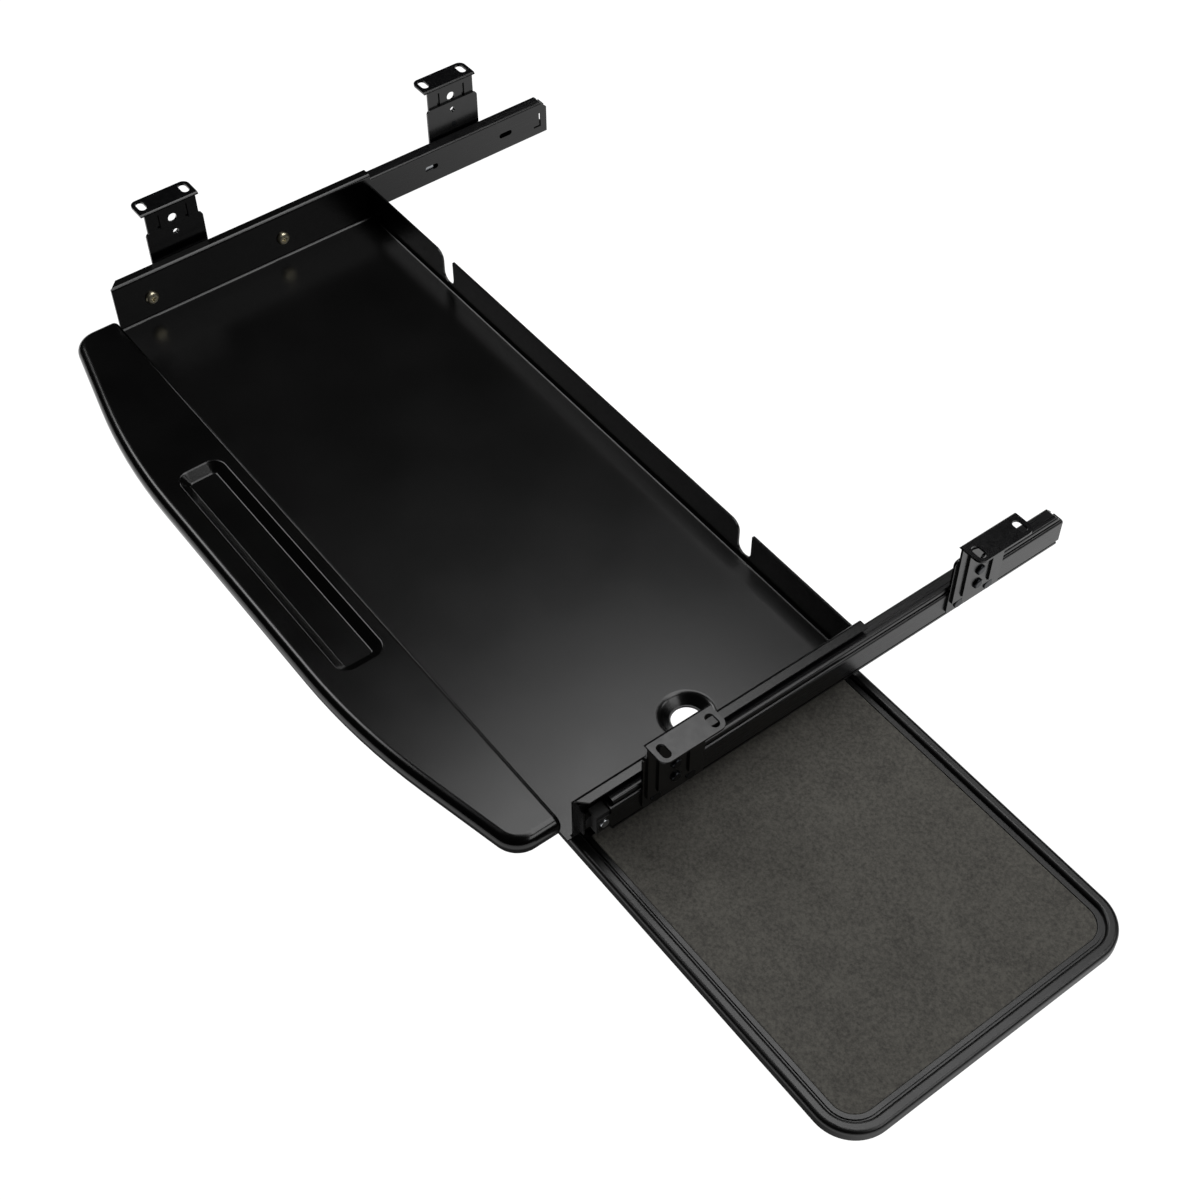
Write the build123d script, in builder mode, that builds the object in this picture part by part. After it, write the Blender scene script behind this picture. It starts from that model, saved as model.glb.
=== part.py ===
"""Under-desk keyboard tray: a pressed steel tray on two ball slides that hang from
four desk brackets, with a moulded palm rest in front and a moulded mouse tray that
slides out from under its right end.

Frame: X to the right, Y towards the back of the desk, Z up. The origin is the middle
of the four bracket flanges, on the plane that bears on the underside of the desk.
Rest is the tray pushed home and the mouse tray pulled out. Sizes are millimetres.
"""
from build123d import *
from math import atan2, cos, degrees, radians, sin, tan
import os

os.makedirs("parts", exist_ok=True)

# Overrun of every cut past the face it leaves, and the reach of an edge selection
overrun = 2.0
near = 0.05

# Desk brackets: an upper plate bent to an L, screwed to a flat hanger plate below it
bracket_sheet = 1.5
flange_length = 43.0
flange_reach = 17.1
flange_corner = 5.0
flange_bend = 1.8
web_width = 38.0
web_edge = 5.6
desk_slot_length = 10.0
desk_slot_width = 5.5
desk_slot_spacing = 32.0
desk_slot_from_web = 9.8
access_hole_radius = 3.2
access_hole_drop = 10.9
spare_hole_radius = 2.2
upper_hole_drop = 21.4
hole_pitch = 12.0
rib_spacing = 21.0
rib_width = 4.4
rib_height = 1.4
rib_top_gap = 3.0
rib_bottom_gap = 2.5
rib_groove_width = 2.4
rib_groove_depth = 1.0
gusset_reach = 5.5
hanger_width = 42.5
hanger_top_margin = 6.8
hanger_bottom_margin = 4.3
hanger_corner = 3.0

# Bracket screws and the rivets that hold each hanger to its slide
bracket_screw_radius = 2.0
bracket_screw_head_radius = 3.4
bracket_screw_head_height = 1.8
rivet_radius = 2.0
rivet_head_radius = 3.5
rivet_head_height = 0.9
rivet_pair_spacing = 24.0
rivet_below_centre = 2.9
rivet_to_web_gap = 1.2
shank_clearance = 0.05

# Keyboard tray: one pressing of coated sheet steel
tray_inner_width = 508.0
tray_depth = 201.0
tray_sheet = 1.2
tray_bend = 2.0
wall_height = 35.5
lip_width = 7.2
lip_bend = 1.0
lip_corner = 6.8
rear_wall_height = 26.0
slide_above_floor = 17.2
notch_centre = 157.0
notch_width = 12.0
notch_above_floor = 4.0
notch_round = 7.0
notch_soft = 1.5
cable_hole_radius = 9.4
cable_dish_radius = 16.2
cable_dish_depth = 4.6
cable_dish_flat = 0.8
cable_dish_round = 5.0
cable_hole_from_wall = 26.5
cable_hole_from_rear = 100.2
floor_strip = 3.0
tongue_depth = 20.0
tongue_gap = 1.0
tongue_step = 0.4
tongue_corner = 6.0

# Palm rest: a moulded shell, open below, screwed to the tongue of the tray
palm_inset = 3.1
palm_gap = 0.5
palm_height = 15.5
palm_skirt = 1.0
palm_depth = 57.6
palm_wall = 2.5
palm_slope_run = 66.5
palm_sweep_radius = 464.0
palm_sweep_angle = 12.7
palm_corner = 17.0
palm_front_round = 5.9
palm_foot_round = 10.0
palm_foot_land = 1.5
palm_rear_round = 3.2
recess_length = 193.0
recess_width = 31.0
recess_depth = 5.0
recess_slope = 6.2
recess_corner = 8.6
recess_from_rear = 9.7
recess_top_round = 2.0
recess_foot_round = 2.0
boss_radius = 4.0
boss_from_rear = 13.0
boss_pitch = 86.0
boss_count = 5
palm_screw_radius = 1.5
palm_screw_depth = 8.0
palm_screw_head_radius = 3.2
palm_screw_head_height = 1.8

# Ball slides: a channel on the tray and a runner on the hangers, balls between them
slide_length = 353.0
slide_ahead_of_row = 55.0
slide_behind_row = 74.0
channel_setback = 3.0
runner_setback = 14.0
slide_sheet = 1.0
slide_round = 1.6
channel_height = 27.0
channel_width = 10.0
channel_edge = 1.7
channel_groove_width = 1.4
channel_groove_depth = 0.35
channel_groove_from_edge = 2.6
channel_leg_cut = 16.0
channel_end_plate_width = 4.0
channel_end_plate_height = 20.0
channel_chamfer = 5.0
channel_slot_length = 11.0
channel_slot_width = 4.0
channel_slot_first = 102.0
channel_slot_spacing = 65.0
stop_slot_width = 1.5
stop_height = 10.0
stop_length = 3.2
stop_from_rear = 10.0
runner_height = 18.0
runner_width = 7.6
runner_tongue_length = 8.5
runner_tongue_height = 10.0
ball_radius = 1.6
ball_clearance = 0.15
ball_seat_clearance = 0.1
ball_pitch = 27.0
balls_per_row = 3
ball_shift = 2.5
retainer_sheet = 0.7
retainer_length = 89.0
retainer_from_rear = 100.0
retainer_arm = 7.0
retainer_gap = 0.5
retainer_round = 1.0
slide_screw_radius = 2.4
slide_screw_head_radius = 4.7
slide_screw_head_height = 2.4
slide_screw_length = 3.3
slide_screw_first = 26.3
slide_screw_spacing = 102.4
slide_screw_drop = 1.4
recess_cross_length = 4.4
recess_cross_width = 1.0
recess_cross_depth = 1.2

# Soft bumper in the front end of each runner, with its rivet
bumper_length = 12.0
bumper_height = 15.0
bumper_thickness = 7.4
bumper_nose = 3.6
bumper_nose_width = 3.0
bumper_nose_height = 9.0
bumper_back = 3.0
bumper_rivet_head_radius = 2.8
bumper_rivet_from_front = 4.5

# Mouse tray: a moulded pan with a raised bead, and the pad laid in it
pan_reach = 221.0
pan_width = 249.0
pan_front_gap = 1.0
pan_rear_overhang = 3.5
pan_gap = 0.8
pan_height = 8.5
pan_corner = 25.0
pan_inner_corner = 12.0
pan_bead = 7.0
pan_bead_round = 1.9
pan_bead_wall = 1.2
pan_edge_round = 2.6
pan_foot_round = 1.2
pan_groove = 1.5
pan_groove_depth = 1.0
pan_ledge_drop = 2.0
pan_ledge = 2.5
pan_wall = 2.5
pan_floor = 2.5
pan_rib = 1.6
pan_rib_pitch = 48.0
pan_ribs_across = 5
pan_ribs_along = 4
pan_rib_from_guide = 13.0
pan_land = 28.0
pad_thickness = 2.0
pad_clearance = 0.3

# Two flat bars on the pan slide in two pressed guides under the tray floor
guide_height = 5.0
guide_sheet = 0.8
guide_slot = 8.0
guide_end_gap = 3.0
guide_from_front = 16.0
guide_from_rear = 15.0
bar_width = 15.0
bar_clearance = 0.2
stop_block_length = 5.5
stop_block_clearance = 0.1
stop_gap = 0.3
mouse_travel = 216.0
neck_width = 6.0
neck_length = 17.0
neck_margin = 1.0
bar_screw_radius = 1.6
bar_screw_head_radius = 3.0
bar_screw_head_height = 1.8
bar_screw_spacing = 7.0

# Heights, all worked out downwards from the desk
lowest_hole_z = -(upper_hole_drop + 2 * hole_pitch)
web_bottom_z = lowest_hole_z - web_edge
rivet_z = web_bottom_z - rivet_to_web_gap - rivet_head_radius
slide_z = rivet_z + rivet_below_centre
floor_z = slide_z - slide_above_floor
floor_under_z = floor_z - tray_sheet
wall_top_z = floor_z + wall_height
rear_top_z = floor_z + rear_wall_height
tongue_z = floor_z - tongue_step
tongue_under_z = tongue_z - tray_sheet
palm_top_z = floor_z + palm_height
palm_foot_z = floor_z - palm_skirt

# Distances out from the inner face of the tray's side wall, shared by both sides
tray_half = tray_inner_width / 2
channel_in = tray_sheet
channel_out = channel_in + channel_width
runner_out = channel_out + slide_sheet
runner_in = runner_out - runner_width
hanger_in = runner_out
web_in = hanger_in + bracket_sheet
web_out = web_in + bracket_sheet
ball_row = channel_height / 2 - slide_sheet - ball_clearance - ball_radius
ball_out = (runner_in + channel_out - slide_sheet) / 2
retainer_in = channel_in + slide_sheet + retainer_gap
retainer_out = retainer_in + retainer_arm

# Places along Y, set out from the two rows of brackets
row_spacing = slide_length - slide_ahead_of_row - slide_behind_row
row_ys = (-row_spacing / 2, row_spacing / 2)
channel_front_y = row_ys[0] - slide_ahead_of_row
channel_rear_y = channel_front_y + slide_length
runner_front_y = channel_front_y + runner_setback
runner_length = slide_length - runner_setback
tray_front_y = channel_front_y - channel_setback
rear_wall_y = tray_front_y + tray_depth
retainer_rear_y = channel_rear_y - retainer_from_rear
retainer_mid_y = retainer_rear_y - retainer_length / 2
palm_rear_y = tray_front_y - floor_strip - palm_gap
palm_front_y = palm_rear_y - palm_depth
boss_y = palm_rear_y - boss_from_rear
sides = (("left", -1), ("right", 1))


def out_from_wall(side, distance):
    """X of a place that lies this far out from the side wall's inner face."""
    return side * (tray_half + distance)


def strip(side, inner, outer, low, high):
    """Rectangle of an XZ sketch, between two distances out and two heights."""
    centre = (out_from_wall(side, (inner + outer) / 2), (low + high) / 2)
    with Locations(centre):
        Rectangle(outer - inner, high - low)


# Keyboard tray: floor, side walls and rear wall folded up from one sheet
outer_width = tray_inner_width + 2 * tray_sheet
outer_depth = tray_depth + tray_sheet
with BuildPart() as keyboard_tray:
    with BuildSketch(Plane.XY.offset(floor_under_z)):
        with Locations((0, tray_front_y + outer_depth / 2)):
            Rectangle(outer_width, outer_depth)
    extrude(amount=wall_height + tray_sheet)
    foot = faces().sort_by(Axis.Z)[0].edges().sort_by(Axis.Y)[1:]
    fillet(foot, radius=tray_bend + tray_sheet)
    top_face = faces().sort_by(Axis.Z)[-1]
    front_face = faces().sort_by(Axis.Y)[0]
    offset(amount=-tray_sheet, openings=[top_face, front_face])

    # The rear wall is lower than the side walls
    with BuildSketch(Plane.XZ.offset(-rear_wall_y)):
        with Locations((0, (rear_top_z + wall_top_z + overrun) / 2)):
            Rectangle(tray_inner_width, wall_top_z + overrun - rear_top_z)
    extrude(amount=-(tray_sheet + overrun), mode=Mode.SUBTRACT)

    # Outward lip along the top of each side wall, its front corner cut off
    with BuildSketch(Plane.XY.offset(wall_top_z)):
        for name, side in sides:
            wall_x = out_from_wall(side, 0)
            lip_x = out_from_wall(side, lip_width)
            cut_x = out_from_wall(side, lip_width - lip_corner)
            with BuildLine():
                Polyline(
                    (wall_x, tray_front_y),
                    (cut_x, tray_front_y),
                    (lip_x, tray_front_y + lip_corner),
                    (lip_x, rear_wall_y + tray_sheet),
                    (wall_x, rear_wall_y + tray_sheet),
                    close=True,
                )
            make_face()
    extrude(amount=-tray_sheet)
    for name, side in sides:
        along = edges().filter_by(Axis.Y)
        inner_x = out_from_wall(side, 0)
        under_x = out_from_wall(side, tray_sheet)
        fold = along.filter_by_position(Axis.Z, wall_top_z - near, wall_top_z + near)
        fillet(fold.filter_by_position(Axis.X, inner_x - near, inner_x + near), radius=lip_bend + tray_sheet)
        under_z = wall_top_z - tray_sheet
        along = edges().filter_by(Axis.Y)
        hollow = along.filter_by_position(Axis.Z, under_z - near, under_z + near)
        fillet(hollow.filter_by_position(Axis.X, under_x - near, under_x + near), radius=lip_bend)

    # Two cable notches in the rear wall, each with one corner well rounded
    with BuildSketch(Plane.XZ.offset(-rear_wall_y)):
        notch_low = floor_z + notch_above_floor
        for notch_x in (-notch_centre, notch_centre):
            with Locations((notch_x, notch_low + notch_width / 2)):
                Circle(notch_width / 2)
            with Locations((notch_x, (notch_low + notch_width / 2 + rear_top_z + overrun) / 2)):
                Rectangle(notch_width, rear_top_z + overrun - notch_low - notch_width / 2)
    extrude(amount=tray_bend + overrun, both=True, mode=Mode.SUBTRACT)
    for notch_x in (-notch_centre, notch_centre):
        for edge_side, radius in ((-1, notch_round), (1, notch_soft)):
            corner_x = notch_x + edge_side * notch_width / 2
            corner = edges().filter_by(Axis.Y)
            corner = corner.filter_by_position(Axis.Z, rear_top_z - near, rear_top_z + near)
            fillet(corner.filter_by_position(Axis.X, corner_x - near, corner_x + near), radius=radius)

    # Cable hole on the right, in a dish drawn down into the floor
    hole_x = tray_half - cable_hole_from_wall
    hole_y = rear_wall_y - cable_hole_from_rear
    dish_axis = Axis((hole_x, hole_y, 0), (0, 0, 1))
    dish_plane = Plane(origin=(hole_x, hole_y, floor_z), x_dir=(1, 0, 0), z_dir=(0, -1, 0))
    dish_foot_radius = cable_hole_radius + cable_dish_flat
    with BuildSketch(dish_plane):
        with BuildLine():
            Polyline(
                (0, -tray_sheet / 2),
                (cable_dish_radius, -tray_sheet / 2),
                (cable_dish_radius, -tray_sheet),
                (dish_foot_radius, -cable_dish_depth - tray_sheet),
                (0, -cable_dish_depth - tray_sheet),
                close=True,
            )
        make_face()
    revolve(axis=dish_axis)
    with BuildSketch(dish_plane):
        with BuildLine():
            Polyline(
                (0, overrun),
                (cable_dish_radius, overrun),
                (cable_dish_radius, 0),
                (dish_foot_radius, -cable_dish_depth),
                (0, -cable_dish_depth),
                close=True,
            )
        make_face()
    revolve(axis=dish_axis, mode=Mode.SUBTRACT)
    dish_rings = edges().filter_by(GeomType.CIRCLE)
    dish_rings = dish_rings.filter_by(lambda ring: abs(ring.radius - cable_dish_radius) < near)
    fillet(dish_rings, radius=cable_dish_round)
    with BuildSketch(Plane.XY.offset(floor_z)):
        with Locations((hole_x, hole_y)):
            Circle(cable_hole_radius)
    extrude(amount=-(cable_dish_depth + tray_sheet + overrun), mode=Mode.SUBTRACT)

    # Floor strip in front of the walls, and the tongue, set down a little, that carries the palm rest
    palm_half = tray_half - palm_inset
    palm_foot_half = palm_half - palm_foot_round - palm_foot_land
    tongue_half = palm_foot_half - tongue_gap
    with BuildSketch(Plane.XY.offset(floor_under_z)):
        with Locations((0, tray_front_y - floor_strip / 2)):
            Rectangle(tray_inner_width, floor_strip)
    extrude(amount=tray_sheet)
    with BuildSketch(Plane.XY.offset(tongue_under_z)):
        with Locations((0, tray_front_y - floor_strip - tongue_depth / 2)):
            Rectangle(2 * tongue_half, tongue_depth)
        fillet(vertices().group_by(Axis.Y)[0], radius=tongue_corner)
    extrude(amount=tray_sheet)

    # Holes for the palm rest screws and for the screws of the slides
    with BuildSketch(Plane.XY.offset(tongue_z)):
        with Locations((0, boss_y)):
            with GridLocations(boss_pitch, 0, boss_count, 1):
                Circle(palm_screw_radius + shank_clearance)
    extrude(amount=-tray_sheet, mode=Mode.SUBTRACT)
    slide_screw_z = slide_z - slide_screw_drop
    slide_screw_ys = [tray_front_y + slide_screw_first + step * slide_screw_spacing for step in range(2)]
    with BuildSketch(Plane.YZ):
        for screw_y in slide_screw_ys:
            with Locations((screw_y, slide_screw_z)):
                Circle(slide_screw_radius + shank_clearance)
    extrude(amount=outer_width, both=True, mode=Mode.SUBTRACT)
keyboard_tray.part.label = "keyboard_tray"
export_step(keyboard_tray.part, "parts/keyboard_tray.step")

# Palm rest: the plan is straight in the middle and swept back towards both ends
sweep = radians(palm_sweep_angle)
sweep_x = palm_half - palm_slope_run
palm_flat_half = sweep_x - palm_sweep_radius * sin(sweep)
sweep_y = palm_front_y + palm_sweep_radius * (1 - cos(sweep))
end_y = sweep_y + (palm_half - sweep_x) * tan(sweep)
with BuildSketch() as palm_plan:
    with BuildLine():
        left_end = Line((-palm_half, palm_rear_y), (-palm_half, end_y))
        left_slope = Line(left_end @ 1, (-sweep_x, sweep_y))
        left_arc = TangentArc(left_slope @ 1, (-palm_flat_half, palm_front_y), tangent=left_slope % 1)
        middle = Line(left_arc @ 1, (palm_flat_half, palm_front_y))
        right_arc = TangentArc(middle @ 1, (sweep_x, sweep_y), tangent=middle % 1)
        right_slope = Line(right_arc @ 1, (palm_half, end_y))
        right_end = Line(right_slope @ 1, (palm_half, palm_rear_y))
        Line(right_end @ 1, left_end @ 0)
    make_face()
    fillet(vertices().group_by(Axis.X)[0].sort_by(Axis.Y)[0], radius=palm_corner)
    fillet(vertices().group_by(Axis.X)[-1].sort_by(Axis.Y)[0], radius=palm_corner)

# Space inside the shell, rounded as the outside is, and open below within a narrow foot
palm_space_low = palm_foot_z + palm_wall
with BuildPart() as palm_space:
    with BuildSketch(Plane.XY.offset(palm_space_low)):
        offset(palm_plan.sketch, amount=-palm_wall)
    extrude(amount=palm_top_z - palm_wall - palm_space_low)
    low_edges = faces().sort_by(Axis.Z)[0].edges().sort_by(Axis.Y)[:-1]
    fillet(low_edges, radius=palm_foot_round - palm_wall)
    high_edges = faces().sort_by(Axis.Z)[-1].edges().sort_by(Axis.Y)[:-1]
    fillet(high_edges, radius=palm_front_round - palm_wall)
    with BuildSketch(Plane.XY.offset(palm_foot_z)):
        offset(palm_plan.sketch, amount=-(palm_foot_round + palm_foot_land))
        with Locations((0, palm_rear_y - palm_foot_round)):
            Rectangle(2 * palm_foot_half, 2 * (palm_foot_round - palm_wall))
    extrude(amount=palm_foot_round)

recess_mid_y = palm_rear_y - recess_from_rear - recess_width / 2
recess_angle = degrees(atan2(recess_slope, recess_depth))
with BuildPart() as palm_rest:
    with BuildSketch(Plane.XY.offset(palm_foot_z)):
        add(palm_plan.sketch)
    extrude(amount=palm_top_z - palm_foot_z)
    foot_edges = faces().sort_by(Axis.Z)[0].edges().sort_by(Axis.Y)[:-1]
    fillet(foot_edges, radius=palm_foot_round)
    top_edges = faces().sort_by(Axis.Z)[-1].edges().sort_by(Axis.Y)[:-1]
    fillet(top_edges, radius=palm_front_round)
    fillet(faces().sort_by(Axis.Z)[-1].edges().sort_by(Axis.Y)[-1], radius=palm_rear_round)

    # Hollow, with the pan of the recess left standing in it
    add(palm_space.part, mode=Mode.SUBTRACT)
    with BuildSketch(Plane.XY.offset(palm_top_z - palm_wall / 2)):
        with Locations((0, recess_mid_y)):
            RectangleRounded(recess_length + palm_wall, recess_width + palm_wall, recess_corner + palm_wall / 2)
    extrude(amount=-(recess_depth + palm_wall / 2), taper=recess_angle)
    with BuildSketch(Plane.XY.offset(palm_top_z)):
        with Locations((0, recess_mid_y)):
            RectangleRounded(recess_length, recess_width, recess_corner)
    extrude(amount=-recess_depth, taper=recess_angle, mode=Mode.SUBTRACT)
    foot_z = palm_top_z - recess_depth
    recess_foot = edges().filter_by_position(Axis.Z, foot_z - near, foot_z + near)
    fillet(recess_foot, radius=recess_foot_round)
    rim = edges().filter_by_position(Axis.Z, palm_top_z - near, palm_top_z + near)
    rim = rim.filter_by_position(Axis.X, -recess_length / 2 - near, recess_length / 2 + near)
    rim_low = recess_mid_y - recess_width / 2 - near
    rim_high = recess_mid_y + recess_width / 2 + near
    fillet(rim.filter_by_position(Axis.Y, rim_low, rim_high), radius=recess_top_round)

    # The rear wall stands on the tongue, so its foot is cut back over it
    with BuildSketch(Plane.XY.offset(palm_foot_z)):
        with Locations((0, palm_rear_y - palm_wall / 2)):
            Rectangle(2 * (tongue_half + tongue_gap / 2), palm_wall + overrun)
    extrude(amount=tongue_z - palm_foot_z, mode=Mode.SUBTRACT)

    # Screw bosses between the tongue and the top
    with BuildSketch(Plane.XY.offset(tongue_z)):
        with Locations((0, boss_y)):
            with GridLocations(boss_pitch, 0, boss_count, 1):
                Circle(boss_radius)
    extrude(until=Until.NEXT)
    with BuildSketch(Plane.XY.offset(tongue_z)):
        with Locations((0, boss_y)):
            with GridLocations(boss_pitch, 0, boss_count, 1):
                Circle(palm_screw_radius + shank_clearance)
    extrude(amount=palm_screw_depth, mode=Mode.SUBTRACT)
palm_rest.part.label = "palm_rest"
export_step(palm_rest.part, "parts/palm_rest.step")

with BuildPart() as palm_rest_screws:
    with BuildSketch(Plane.XY.offset(tongue_under_z)):
        with Locations((0, boss_y)):
            with GridLocations(boss_pitch, 0, boss_count, 1):
                Circle(palm_screw_head_radius)
    extrude(amount=-palm_screw_head_height)
    fillet(faces().group_by(Axis.Z)[0].edges(), radius=palm_screw_head_height / 2)
    with BuildSketch(Plane.XY.offset(tongue_under_z)):
        with Locations((0, boss_y)):
            with GridLocations(boss_pitch, 0, boss_count, 1):
                Circle(palm_screw_radius)
    extrude(amount=tray_sheet + palm_screw_depth - shank_clearance)
palm_rest_screws.part.label = "palm_rest_screws"
export_step(palm_rest_screws.part, "parts/palm_rest_screws.step")


# Slides: the channel is screwed to the tray wall, the runner is riveted to the hangers
for name, side in sides:
    with BuildPart() as channel:
        with BuildSketch(Plane.XZ.offset(-channel_front_y)):
            with Locations((out_from_wall(side, (channel_in + channel_out) / 2), slide_z)):
                RectangleRounded(channel_width, channel_height, slide_round)
                RectangleRounded(
                    channel_width - 2 * slide_sheet,
                    channel_height - 2 * slide_sheet,
                    slide_round - slide_sheet,
                    mode=Mode.SUBTRACT,
                )
            opening = channel_height / 2 - slide_sheet - channel_edge
            with Locations((out_from_wall(side, channel_out), slide_z)):
                Rectangle(3 * slide_sheet, 2 * opening, mode=Mode.SUBTRACT)

            # A shallow groove is rolled along the outer face of each leg
            groove_out = out_from_wall(side, channel_out - channel_groove_from_edge)
            for edge_z in (slide_z - channel_height / 2, slide_z + channel_height / 2):
                with Locations((groove_out, edge_z)):
                    Rectangle(channel_groove_width, 2 * channel_groove_depth, mode=Mode.SUBTRACT)
        extrude(amount=-slide_length)

        # The legs start behind the front end, where only the web and an end plate bent
        # out of it go on; the bumper rests against the plate
        with BuildSketch(Plane.XZ.offset(-channel_front_y)):
            leg_half = channel_height / 2 + overrun
            strip(side, channel_in + slide_sheet, channel_out + overrun, slide_z - leg_half, slide_z + leg_half)
        extrude(amount=-channel_leg_cut, mode=Mode.SUBTRACT)
        with BuildSketch(Plane.XZ.offset(-channel_front_y)):
            plate_out = channel_in + slide_sheet + channel_end_plate_width
            plate_half = channel_end_plate_height / 2
            strip(side, channel_in, plate_out, slide_z - plate_half, slide_z + plate_half)
        extrude(amount=-slide_sheet)

        # Slots, screw holes and the pressed stop in the web
        stop_y = channel_rear_y - stop_from_rear
        web_x = out_from_wall(side, channel_in)
        with BuildSketch(Plane.YZ.offset(web_x)):
            for step in range(2):
                slot_y = channel_rear_y - channel_slot_first + step * channel_slot_spacing
                with Locations((slot_y, slide_z)):
                    SlotOverall(channel_slot_length, channel_slot_width)
            for screw_y in slide_screw_ys:
                with Locations((screw_y, slide_screw_z)):
                    Circle(slide_screw_radius + shank_clearance)
            with Locations((stop_y + stop_length + stop_slot_width / 2, slide_z)):
                Rectangle(stop_slot_width, stop_height)
            with Locations((stop_y + stop_length / 2, slide_z - (stop_height + stop_slot_width) / 2)):
                Rectangle(stop_length + 2 * stop_slot_width, stop_slot_width)
        extrude(amount=side * slide_sheet, mode=Mode.SUBTRACT)
        with BuildSketch(Plane.XZ.offset(-stop_y)):
            strip(side, channel_in, retainer_in + retainer_sheet, slide_z - stop_height / 2, slide_z + stop_height / 2)
        extrude(amount=-stop_length)

        # The upper rear corner is cut off
        with BuildSketch(Plane.YZ.offset(web_x)):
            corner_z = slide_z + channel_height / 2
            with BuildLine():
                Polyline(
                    (channel_rear_y - channel_chamfer, corner_z),
                    (channel_rear_y, corner_z),
                    (channel_rear_y, corner_z - channel_chamfer),
                    close=True,
                )
            make_face()
        extrude(amount=side * channel_width, mode=Mode.SUBTRACT)
    channel.part.label = name + "_channel"
    export_step(channel.part, "parts/" + name + "_channel.step")

    rivet_ys = [row_y + step * rivet_pair_spacing / 2 for row_y in row_ys for step in (-1, 1)]
    bumper_rivet_y = runner_front_y - bumper_rivet_from_front
    with BuildPart() as runner:
        with BuildSketch(Plane.XZ.offset(-runner_front_y)):
            with Locations((out_from_wall(side, (runner_in - slide_round + runner_out) / 2), slide_z)):
                RectangleRounded(runner_width + slide_round, runner_height, slide_round)
                RectangleRounded(
                    runner_width + slide_round - 2 * slide_sheet,
                    runner_height - 2 * slide_sheet,
                    slide_round - slide_sheet,
                    mode=Mode.SUBTRACT,
                )
            with Locations((out_from_wall(side, runner_in - slide_round / 2), slide_z)):
                Rectangle(slide_round, runner_height, mode=Mode.SUBTRACT)
        extrude(amount=-runner_length)
        with BuildSketch(Plane.XZ.offset(-runner_front_y)):
            tongue_low = slide_z - runner_tongue_height / 2
            strip(side, channel_out, runner_out, tongue_low, tongue_low + runner_tongue_height)
        extrude(amount=runner_tongue_length)
        with BuildSketch(Plane.YZ.offset(out_from_wall(side, channel_out))):
            for rivet_y in rivet_ys:
                with Locations((rivet_y, rivet_z)):
                    Circle(rivet_radius + shank_clearance)
            with Locations((bumper_rivet_y, slide_z)):
                Circle(rivet_radius + shank_clearance)
        extrude(amount=side * slide_sheet, mode=Mode.SUBTRACT)
    runner.part.label = name + "_runner"
    export_step(runner.part, "parts/" + name + "_runner.step")

    ball_ys = [
        retainer_mid_y - ball_shift + (step - (balls_per_row - 1) / 2) * ball_pitch
        for step in range(balls_per_row)
    ]
    ball_x = out_from_wall(side, ball_out)
    arm_outer = ball_row + retainer_sheet / 2
    with BuildPart() as ball_retainer:
        with BuildSketch(Plane.XZ.offset(-retainer_rear_y)):
            with Locations((out_from_wall(side, (retainer_in + retainer_out + retainer_round) / 2), slide_z)):
                RectangleRounded(
                    retainer_out + retainer_round - retainer_in,
                    2 * arm_outer,
                    retainer_round,
                )
                RectangleRounded(
                    retainer_out + retainer_round - retainer_in - 2 * retainer_sheet,
                    2 * (arm_outer - retainer_sheet),
                    retainer_round - retainer_sheet,
                    mode=Mode.SUBTRACT,
                )
            with Locations((out_from_wall(side, retainer_out + retainer_round / 2), slide_z)):
                Rectangle(retainer_round, 2 * arm_outer, mode=Mode.SUBTRACT)
        extrude(amount=retainer_length)
        with BuildSketch(Plane.XY.offset(slide_z)):
            with Locations(*[(ball_x, ball_y) for ball_y in ball_ys]):
                Circle(ball_radius + ball_seat_clearance)
        extrude(amount=channel_height / 2, both=True, mode=Mode.SUBTRACT)
    ball_retainer.part.label = name + "_ball_retainer"
    export_step(ball_retainer.part, "parts/" + name + "_ball_retainer.step")

    with BuildPart() as balls:
        for ball_y in ball_ys:
            with Locations((ball_x, ball_y, slide_z - ball_row), (ball_x, ball_y, slide_z + ball_row)):
                Sphere(ball_radius)
    balls.part.label = name + "_balls"
    export_step(balls.part, "parts/" + name + "_balls.step")

    # Pan-head screws from inside the tray, through its wall into the channel
    with BuildPart() as slide_screws:
        with BuildSketch(Plane.YZ.offset(out_from_wall(side, 0))):
            with Locations(*[(screw_y, slide_screw_z) for screw_y in slide_screw_ys]):
                Circle(slide_screw_head_radius)
        extrude(amount=-side * slide_screw_head_height)
        head_faces = faces().sort_by(Axis.X)
        head_edges = head_faces[:2] if side > 0 else head_faces[-2:]
        fillet(head_edges.edges(), radius=slide_screw_head_height * 3 / 4)
        with BuildSketch(Plane.YZ.offset(out_from_wall(side, 0))):
            with Locations(*[(screw_y, slide_screw_z) for screw_y in slide_screw_ys]):
                Circle(slide_screw_radius)
        extrude(amount=side * slide_screw_length)
        with BuildSketch(Plane.YZ.offset(out_from_wall(side, -slide_screw_head_height))):
            with Locations(*[(screw_y, slide_screw_z) for screw_y in slide_screw_ys]):
                Rectangle(recess_cross_length, recess_cross_width)
                Rectangle(recess_cross_width, recess_cross_length)
        extrude(amount=side * recess_cross_depth, mode=Mode.SUBTRACT)
    slide_screws.part.label = name + "_slide_screws"
    export_step(slide_screws.part, "parts/" + name + "_slide_screws.step")

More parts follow.
